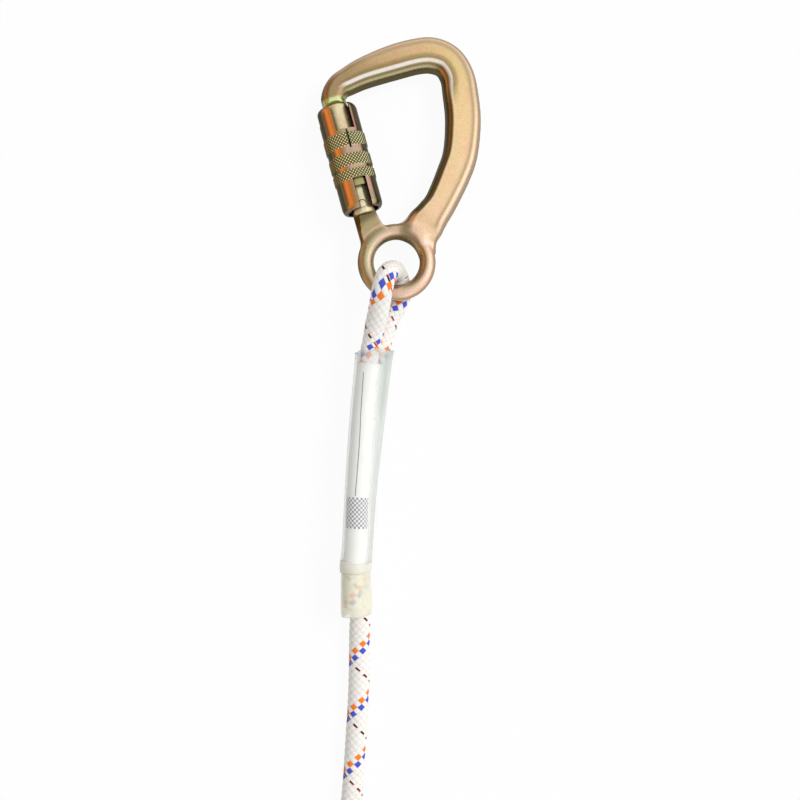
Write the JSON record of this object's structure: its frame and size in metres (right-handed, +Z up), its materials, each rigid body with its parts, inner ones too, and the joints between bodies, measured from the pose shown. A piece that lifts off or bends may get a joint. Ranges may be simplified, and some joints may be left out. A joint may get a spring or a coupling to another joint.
{
  "type": "rope lanyard with auto-locking carabiner",
  "caption": "Static rope whose sewn eye, under shrink tube, holds a forged steel carabiner with a self-locking sleeve gate. The free rope is tied in a hank.",
  "frame": {"origin": "on the floor, under the middle of the carabiner, the sewn eye and its tubes", "axes": "+X across the carabiner towards its spine, +Y from the rope towards the carabiner's top, +Z up from the floor it lies on"},
  "size_m": [0.1104, 0.6856, 0.0496],
  "materials": {
    "zinc_gold": "yellow zinc plated forged steel",
    "zinc_olive": "yellow zinc plated turned steel",
    "steel": "plain turned and drawn steel",
    "rope_white": "braided white cover with coloured tracers",
    "label_white": "thin printed film",
    "clear_shrink": "clear shrink tube",
    "cream_shrink": "translucent shrink tube",
    "thread_black": "sewing thread",
    "black_shrink": "shrink sleeve",
    "strap_black": "woven hook and loop strap"
  },
  "bodies": {
    "rope": {"rope_eye": "rope_white", "identity_label": "label_white", "clear_tube": "clear_shrink", "lower_tube": "cream_shrink", "seam_front": "thread_black", "seam_back": "thread_black", "rope_run": "rope_white", "rope_hank": "rope_white", "end_sleeve": "black_shrink", "hank_tie": "strap_black"},
    "carabiner": {"carabiner_body": "zinc_gold", "hinge_rivet": "steel"},
    "gate": {"gate_bar": "zinc_gold", "stop_pin": "steel", "retaining_collar": "steel", "gate_spring": "steel", "sleeve_spring": "steel"},
    "plunger": {"gate_plunger": "steel"},
    "carriage": {"guide_ring": "steel"},
    "sleeve": {"locking_sleeve": "zinc_olive", "lower_bush": "zinc_olive", "upper_bush": "zinc_olive"}
  },
  "joints": [
    {"name": "carabiner_swing", "type": "hinge", "parent": "rope", "child": "carabiner", "pos_m": [-0.00135, 0.0316, 0.0152], "axis": [0.0376, 0.0659, 0.9971], "range_deg": [-50, 50]},
    {"name": "gate_pivot", "type": "hinge", "parent": "carabiner", "child": "gate", "pos_m": [-0.01941, 0.06134, 0.01392], "axis": [-0.0376, -0.0659, -0.9971], "range_deg": [0, 30], "stiffness_Nm_per_rad": 0.06, "springref_deg": -20.05},
    {"name": "gate_plunge", "type": "slide", "parent": "gate", "child": "plunger", "axis": [-0.2622, 0.9635, -0.0538], "range_m": [0, 0.0008], "deforming": ["gate_spring"]},
    {"name": "sleeve_pull", "type": "slide", "parent": "gate", "child": "carriage", "axis": [0.2622, -0.9635, 0.0538], "range_m": [0, 0.0035], "stiffness_N_per_m": 800, "springref_m": -0.0025, "deforming": ["sleeve_spring"]},
    {"name": "sleeve_twist", "type": "hinge", "parent": "carriage", "child": "sleeve", "pos_m": [-0.01941, 0.06134, 0.01392], "axis": [-0.2622, 0.9635, -0.0538], "range_deg": [0, 82]}
  ],
  "couplings": [
    {"joint": "gate_plunge", "follows": "gate_pivot", "m_per_rad": 0.001375},
    {"joint": "sleeve_twist", "follows": "gate_pivot", "ratio": 2.7167}
  ]
}
